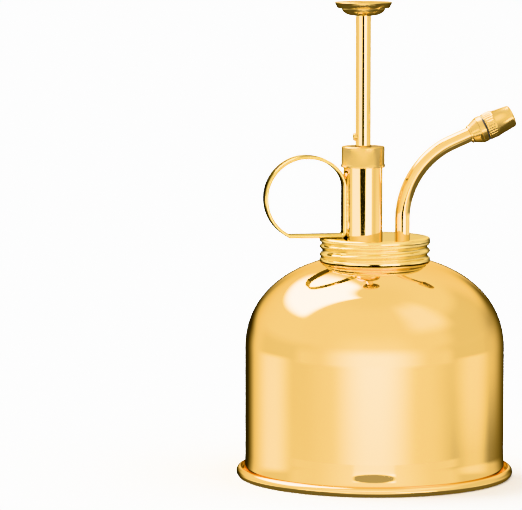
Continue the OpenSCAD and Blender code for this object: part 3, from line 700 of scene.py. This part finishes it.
def nozzle_body():
    """Collar, hexagonal taper, round band and screwed nose."""
    taper_end = NOZZLE_BODY_L - NOZZLE_BAND_L
    taper_rows = 30
    start_row = 6
    def radius(r, z, a, row):
        if row < start_row or row > start_row + taper_rows:
            return r
        from_flat = (a + math.pi / 6) % (math.pi / 3) - math.pi / 6
        return min(r, NOZZLE_FLAT_R / math.cos(from_flat))
    profile = [(SPOUT_R + GAP, 0), (NOZZLE_SMALL_R - 0.1, 0), (NOZZLE_SMALL_R, 0.1)]
    profile += [(NOZZLE_SMALL_R, NOZZLE_COLLAR_L - 0.05), (NOZZLE_SMALL_R - 0.12, NOZZLE_COLLAR_L)]
    profile += [(NOZZLE_SMALL_R - 0.12, NOZZLE_COLLAR_L + 0.1)]
    for i in range(taper_rows + 1):
        t = i / taper_rows
        z = NOZZLE_COLLAR_L + 0.12 + (taper_end - NOZZLE_COLLAR_L - 0.12) * t
        profile.append((NOZZLE_SMALL_R + (NOZZLE_R - NOZZLE_SMALL_R) * t, z))
    profile += [(NOZZLE_R - 0.04, taper_end + 0.04), (NOZZLE_R, taper_end + 0.1)]
    profile += [(NOZZLE_R, NOZZLE_BODY_L - 0.1), (NOZZLE_R - 0.1, NOZZLE_BODY_L), (SCREW_R, NOZZLE_BODY_L)]
    profile += [(SCREW_R, NOZZLE_BODY_L + SCREW_L), (NOZZLE_BORE_R, NOZZLE_BODY_L + SCREW_L)]
    profile += [(NOZZLE_BORE_R, SOCKET_L), (SPOUT_R + GAP, SOCKET_L)]
    verts, faces = polar(profile, 192, radius)
    piece("nozzle_union", verts, faces, "pump_head", ["nozzle_body"], SATIN_NOZZLE,
          nozzle_frame(), 25)


def nozzle_cap():
    """Knurled band, smooth taper, rounded tip and spray hole."""
    knurl_rows = 14
    taper_r = NOZZLE_R - 0.15
    knurl_end = NOZZLE_CAP_START + KNURL_L
    def radius(r, z, a, row):
        depth = min(z - NOZZLE_CAP_START, knurl_end - z) - 0.2
        fade = max(0.0, min(1.0, depth / 0.25))
        if row > knurl_rows + 1 or fade == 0:
            return r
        groove = 0.5 + 0.5 * math.cos(KNURL_COUNT * a)
        return r - KNURL_DEPTH * fade * groove ** 1.5
    room_z = NOZZLE_CAP_START + SCREW_ROOM_L
    swirl_z = room_z + SWIRL_ROOM_L
    profile = [(NOZZLE_R - 0.1, NOZZLE_CAP_START)]
    for i in range(knurl_rows + 1):
        profile.append((NOZZLE_R, NOZZLE_CAP_START + 0.1 + (KNURL_L - 0.1) * i / knurl_rows))
    profile += [(taper_r, knurl_end + 0.15)]
    tip = NOZZLE_TIP_ROUND
    profile += arc(NOZZLE_TIP_R - tip, NOZZLE_CAP_END - tip, tip, 0, 90, 12)
    profile += [(SPRAY_R + SPRAY_FLARE, NOZZLE_CAP_END), (SPRAY_R, NOZZLE_CAP_END - SPRAY_FLARE)]
    profile += [(SPRAY_R, NOZZLE_CAP_END - 0.55)]
    profile += [(SWIRL_ROOM_R, swirl_z), (SWIRL_ROOM_R, room_z)]
    profile += [(SCREW_ROOM_R, room_z), (SCREW_ROOM_R, NOZZLE_CAP_START)]
    verts, faces = polar(profile, KNURL_COUNT * 12, radius)
    piece("nozzle_knurled_cap", verts, faces, "nozzle_cap", ["nozzle_cap"], SATIN_NOZZLE,
          nozzle_frame(), 40)


# -------------------------------------------------------------------- plunger


def button():
    """Dished thumb button with a plain rim over a bowl-shaped underside."""
    bowl_r = BUTTON_R - BUTTON_RIM_IN - BUTTON_STEP
    rim_low = BUTTON_TOP - BUTTON_RIM_H
    dish_edge = BUTTON_R - 2 * BUTTON_EDGE
    dish_sphere = (dish_edge ** 2 + BUTTON_DISH ** 2) / (2 * BUTTON_DISH)
    dish_a = math.degrees(math.asin(dish_edge / dish_sphere))
    dish_z = BUTTON_TOP - BUTTON_DISH
    bowl = []
    for i in range(17):
        a = math.pi / 2 * i / 16
        r = BUTTON_BOSS_R + (bowl_r - BUTTON_BOSS_R) * math.cos(a)
        bowl.append((r, rim_low - (rim_low - BUTTON_Z) * math.sin(a)))
    profile = [(0, dish_z)]
    profile += arc(0, dish_z + dish_sphere, dish_sphere, -90 + dish_a / 24, -90 + dish_a, 23)
    profile += arc(BUTTON_R - BUTTON_EDGE, BUTTON_TOP - BUTTON_EDGE, BUTTON_EDGE, 90, 0, 5)
    profile += [(BUTTON_R - 0.18, BUTTON_TOP - 0.65), (BUTTON_R - BUTTON_RIM_IN, rim_low + 0.1)]
    profile += [(BUTTON_R - BUTTON_RIM_IN - 0.15, rim_low)]
    profile += bowl + [(0, BUTTON_Z)]
    verts, faces = lathe_solid(profile[::-1], 160)
    piece("thumb_button", verts, faces, "plunger", ["plunger_button"], SATIN,
          moved(BARREL_X, 0, 0), 30)


def rod():
    """Shaft from the button down to the spigot that holds the piston."""
    profile = [(0, ROD_END), (SPIGOT_R, ROD_END), (SPIGOT_R, PISTON_TOP), (ROD_R, PISTON_TOP)]
    profile += [(ROD_R, BUTTON_Z + 1), (0, BUTTON_Z + 1)]
    verts, faces = lathe_solid(profile, 96)
    piece("rod_shaft", verts, faces, "plunger", ["plunger_rod"], POLISHED,
          moved(BARREL_X, 0, 0))


def stud():
    """Round-headed stud on the side of the rod."""
    foot = ROD_R - STUD_IN
    seat = ROD_R - STUD_HEAD
    rounding = ROD_R + STUD_OUT - STUD_HEAD
    profile = [(0, foot), (STUD_SHANK_R, foot), (STUD_SHANK_R, seat), (STUD_R, seat), (STUD_R, rounding)]
    for a in (0.3, 0.6, 0.9, 1.2):
        profile.append((STUD_R * math.cos(a), rounding + STUD_HEAD * math.sin(a)))
    profile += [(0, ROD_R + STUD_OUT)]
    verts, faces = lathe_solid(profile, 48)
    place = moved(BARREL_X, 0, STUD_Z) @ Matrix.Rotation(-math.pi / 2, 4, "Y")
    piece("lock_pin_head", verts, faces, "plunger", ["lock_stud"], SATIN, place, 30)


def spring():
    """Round wire spring, wound round the barrel's axis."""
    low, high = box_mm("return_spring")
    wire = 0.45
    coil = 4.0
    turns = 14
    sides = 10
    steps = turns * 36
    rise = high.z - low.z - 2 * wire
    verts = []
    for k in range(steps + 1):
        turn = 2 * math.pi * turns * k / steps
        for j in range(sides):
            s = 2 * math.pi * j / sides
            r = coil + wire * math.cos(s)
            z = low.z + wire + rise * k / steps + wire * math.sin(s)
            verts.append((BARREL_X + r * math.cos(turn), r * math.sin(turn), z))
    faces = grid_faces(steps + 1, sides, False)
    faces += [tuple(range(sides)), tuple(steps * sides + j for j in range(sides - 1, -1, -1))]
    obj = piece("return_coil", verts, faces, "spring_set", ["return_spring"], STEEL, sharp=60)
    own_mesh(obj)


# --------------------------------------------------------- carried CAD nodes

CARRIED = {
    "cap_gasket": RUBBER, "nozzle_washer": RUBBER, "buffer_washer": LEATHER, "piston_cup": LEATHER,
    "seam_solder": SOLDER, "inlet_ball": STEEL, "outlet_ball": STEEL, "inlet_pin": STEEL, "outlet_pin": STEEL,
    "swirl_core": PLAIN, "valve_body": PLAIN, "passage_plug": PLAIN, "suction_strainer": PLAIN,
    "spring_seat": PLAIN, "piston": PLAIN, "cup_washer": PLAIN, "piston_nut": PLAIN,
}


def dress_cad_nodes():
    """Gives each carried-over CAD node its material."""
    for name, material in CARRIED.items():
        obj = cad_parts[name]
        obj.data.materials.clear()
        obj.data.materials.append(material)
        for polygon in obj.data.polygons:
            polygon.material_index = 0


# ---------------------------------------------------------------------- stage

CAMERA_TURN = math.radians(10.0)
CAMERA_DISTANCE = 1.19
CAMERA_HEIGHT = 0.200
CAMERA_LENS = 258.0
AIM_LEFT = 0.0364
AIM_UP = 0.0710


def camera():
    """Long lens at the photograph's viewing angle."""
    data = bpy.data.cameras.new("camera")
    data.lens = CAMERA_LENS
    data.sensor_width = 36.0
    data.clip_start = 0.01
    data.clip_end = 100.0
    obj = bpy.data.objects.new("camera", data)
    bpy.context.scene.collection.objects.link(obj)
    toward = Vector((math.sin(CAMERA_TURN), math.cos(CAMERA_TURN), 0))
    right = Vector((toward.y, -toward.x, 0))
    obj.location = -toward * CAMERA_DISTANCE + Vector((0, 0, CAMERA_HEIGHT))
    aim = Vector((0, 0, AIM_UP)) - right * AIM_LEFT
    obj.rotation_euler = (aim - obj.location).to_track_quat("-Z", "Y").to_euler()
    bpy.context.scene.camera = obj


def floor():
    """Wide pale floor that the polished metal doesn't mirror."""
    size = 12.0
    mesh = bpy.data.meshes.new("floor")
    corners = [(-size, -size, 0), (size, -size, 0), (size, size, 0), (-size, size, 0)]
    mesh.from_pydata(corners, [], [(0, 1, 2, 3)])
    material, nodes = new_material("pale_floor")
    position = nodes.add("ShaderNodeTexCoord").outputs["Object"]
    tone = nodes.spread(nodes.noise(position, 3.0), 0.3, 0.7)
    color = nodes.mix(tone, rgb(0.86, 0.86, 0.86), rgb(0.88, 0.88, 0.88))
    shader = nodes.add("ShaderNodeBsdfPrincipled", {
        "Base Color": color, "Roughness": 0.9, "Specular IOR Level": 0.0})
    nodes.add("ShaderNodeOutputMaterial", {"Surface": shader.outputs[0]})
    mesh.materials.append(material)
    obj = bpy.data.objects.new("floor", mesh)
    obj.visible_glossy = False
    bpy.context.scene.collection.objects.link(obj)


# Lights and dark cards of the studio, by direction. Each has the azimuth from the camera and the elevation
# of its centre, half width, half height, softness across and up, rise per degree of azimuth and brightness.
# Angles are in degrees, with azimuth growing to the right.
STUDIO = {
    "left_side": (-88, 0, 22, 4, 26, 12, 0.0, 1.05),
    "right_side": (94, 0, 22, 4, 26, 12, 0.0, 0.95),
    "right_dimness": (108, 24, 24, 12, 22, 14, 0.0, 0.95),
    "lower_right_dimness": (125, -12, 30, 2.6, 40, 1.7, 0.0, 0.45),
    "right_back": (172, -2, 8, 10, 54, 18, 0.0, 0.14),
    "left_back": (-168, -6, 12, 6, 34, 12, 0.0, 0.03),
    "behind": (180, 14, 2, 3, 18, 11, 0.0, 1.8),
    "front_glow": (0, -4, 8, 3, 38, 38, 0.0, 2.3),
    "front_core": (0, -6.6, 3, 0.8, 36, 5.0, 0.0, 6.5),
    "left_glow": (-103, -8.6, 3, 0.6, 24, 3.8, 0.0, 3.2),
    "right_glow": (99, -7.2, 3, 0.6, 24, 2.8, 0.0, 2.1),
    "top_right_softbox": (60, 50, 8, 8, 26, 18, 0.0, 3.0),
    "top_left_softbox": (-122, 56, 28, 15, 14, 9, 0.12, 30.0),
    "left_strip": (-37, -3.8, 21, 2.8, 12, 0.8, 0.0, 6.0),
    "right_strip": (31, -3.8, 15, 2.8, 10, 0.8, 0.0, 14.0),
}
STUDIO_BASE = 1.45
STUDIO_TOP = 1.25
STUDIO_TOP_SPAN = (60.0, 82.0)
STUDIO_BELOW = 0.22
STUDIO_BELOW_SPAN = (-18.0, -10.0)

# Dark oval where a photographer stands: half width, elevation of its middle, half height and brightness.
CAMERA_GAP = {"azimuth": 20.0, "elevation": -3.6, "height": 3.4, "bright": 0.02}
CAMERA_GAP_EDGE = (1.25, 0.85)

# Colour of the light on the floor, colour of the light that metal mirrors, and the brightness of the plain
# white that the camera sees past the floor's edge.
WHITE_LIGHT = rgb(1.0, 1.0, 1.0)
WARM_LIGHT = rgb(1.0, 0.795, 0.42)
BACKDROP = 4.0

# Low lights in front of the bottle, in metres. Each is dimmed to its veil within its gap, in degrees on each
# side of the camera's direction, and goes from its middle brightness to its side brightness.
CURVED_LIGHTS = {
    "shoulder_light": {"radius": 0.100, "low": 0.0316, "high": 0.0600, "fade": 0.018, "gap": 0.0, "veil": 1.0,
                       "side": 1.45, "middle": 6.0},
    "foot_light": {"radius": 0.075, "low": 0.0018, "high": 0.0046, "fade": 0.0004, "gap": 13.0, "veil": 0.2,
                   "side": 1.4, "middle": 2.7},
}

# How a curved light fades: at its lower edge, in metres, and with the angle aside, in degrees.
LOW_FADE = 0.0019
BRIGHT_SPAN = (41.0, 5.0)
END_SPAN = (63.0, 52.0)
GAP_SOFTNESS = 1.5


def studio_world():
    """Studio drawn by direction: plain to the camera, warm in mirrored light, with boxes and dark cards."""
    world = bpy.data.worlds.new("studio")
    bpy.context.scene.world = world
    world.use_nodes = True
    nodes = Nodes(world.node_tree)
    direction = nodes.add("ShaderNodeTexCoord").outputs["Generated"]
    camera_azimuth = math.pi * 1.5 - CAMERA_TURN
    turned = nodes.add("ShaderNodeVectorRotate", {"Vector": direction, "Angle": -camera_azimuth},
                       rotation_type="Z_AXIS").outputs[0]
    x, y, z = nodes.add("ShaderNodeSeparateXYZ", {0: turned}).outputs
    azimuth = nodes.math("DEGREES", nodes.math("ARCTAN2", y, x))
    elevation = nodes.math("DEGREES", nodes.math("ARCSINE", z))
    level = nodes.spread(elevation, *STUDIO_BELOW_SPAN, STUDIO_BELOW, STUDIO_BASE)
    level = nodes.blend(nodes.spread(elevation, *STUDIO_TOP_SPAN), level, STUDIO_TOP)
    for az, el, half_w, half_h, soft_w, soft_h, rise, bright in STUDIO.values():
        offset = nodes.wrap(nodes.math("SUBTRACT", azimuth, float(az)))
        lift = nodes.math("ADD", nodes.math("MULTIPLY", offset, rise), float(el))
        across = nodes.math("ABSOLUTE", offset)
        along = nodes.math("ABSOLUTE", nodes.math("SUBTRACT", elevation, lift))
        mask = nodes.math("MULTIPLY", nodes.spread(across, half_w + soft_w, half_w),
                          nodes.spread(along, half_h + soft_h, half_h))
        level = nodes.blend(mask, level, float(bright))
    across = nodes.math("DIVIDE", azimuth, CAMERA_GAP["azimuth"])
    along = nodes.math("SUBTRACT", elevation, CAMERA_GAP["elevation"])
    along = nodes.math("DIVIDE", along, CAMERA_GAP["height"])
    reach = nodes.math("ADD", nodes.math("MULTIPLY", across, across), nodes.math("MULTIPLY", along, along))
    level = nodes.blend(nodes.spread(reach, *CAMERA_GAP_EDGE), level, CAMERA_GAP["bright"])
    path = nodes.add("ShaderNodeLightPath")
    level = nodes.blend(path.outputs["Is Camera Ray"], level, BACKDROP)
    mirrored = path.outputs["Is Glossy Ray"]
    color = nodes.mix(mirrored, WHITE_LIGHT, WARM_LIGHT)
    background = nodes.add("ShaderNodeBackground", {"Color": color, "Strength": level})
    nodes.add("ShaderNodeOutputWorld", {"Surface": background.outputs[0]})


def curved_light(name, radius, low, high, fade, gap, veil, side, middle):
    """Upright strip bent round the bottle, which only mirrored light sees."""
    reach = 64
    verts, faces = [], []
    for i in range(reach + 1):
        a = math.radians(-90 - math.degrees(CAMERA_TURN) - reach + 2 * i)
        x, y = radius * math.cos(a), radius * math.sin(a)
        verts += [(x, y, low), (x, y, high)]
    for i in range(reach):
        faces.append((2 * i, 2 * i + 2, 2 * i + 3, 2 * i + 1))
    mesh = bpy.data.meshes.new(name)
    mesh.from_pydata(verts, [], faces)
    material, nodes = new_material(name)
    position = nodes.add("ShaderNodeTexCoord").outputs["Object"]
    turned = nodes.add("ShaderNodeVectorRotate", {"Vector": position, "Angle": CAMERA_TURN},
                       rotation_type="Z_AXIS").outputs[0]
    x, y, z = nodes.add("ShaderNodeSeparateXYZ", {0: turned}).outputs
    front = nodes.math("MULTIPLY", y, -1.0)
    aside = nodes.math("DEGREES", nodes.math("ABSOLUTE", nodes.math("ARCTAN2", x, front)))
    light = nodes.add("ShaderNodeEmission", {
        "Color": WARM_LIGHT, "Strength": nodes.spread(aside, *BRIGHT_SPAN, side, middle)})
    clear = nodes.add("ShaderNodeBsdfTransparent")
    seen = nodes.spread(aside, gap - GAP_SOFTNESS, gap + GAP_SOFTNESS, veil, 1.0)
    seen = nodes.math("MULTIPLY", seen, nodes.spread(aside, *END_SPAN))
    seen = nodes.math("MULTIPLY", seen, nodes.spread(z, high, high - fade))
    seen = nodes.math("MULTIPLY", seen, nodes.spread(z, low, low + min(fade, LOW_FADE)))
    mixed = nodes.add("ShaderNodeMixShader", {0: seen, 1: clear.outputs[0], 2: light.outputs[0]})
    nodes.add("ShaderNodeOutputMaterial", {"Surface": mixed.outputs[0]})
    mesh.materials.append(material)
    obj = bpy.data.objects.new(name, mesh)
    obj.visible_camera = False
    obj.visible_diffuse = False
    obj.visible_shadow = False
    bpy.context.scene.collection.objects.link(obj)


# ----------------------------------------------------------------------- build

bell()
base()
neck()
screw_cap()
barrel()
barrel_cap()
finger_ring()
solder_fillets()
spout()
nozzle_body()
nozzle_cap()
button()
rod()
stud()
spring()
dress_cad_nodes()
camera()
floor()
studio_world()
for light_name, light_sizes in CURVED_LIGHTS.items():
    curved_light(light_name, **light_sizes)
bpy.context.scene.view_settings.view_transform = "Khronos PBR Neutral"
bpy.context.scene.view_settings.look = "None"
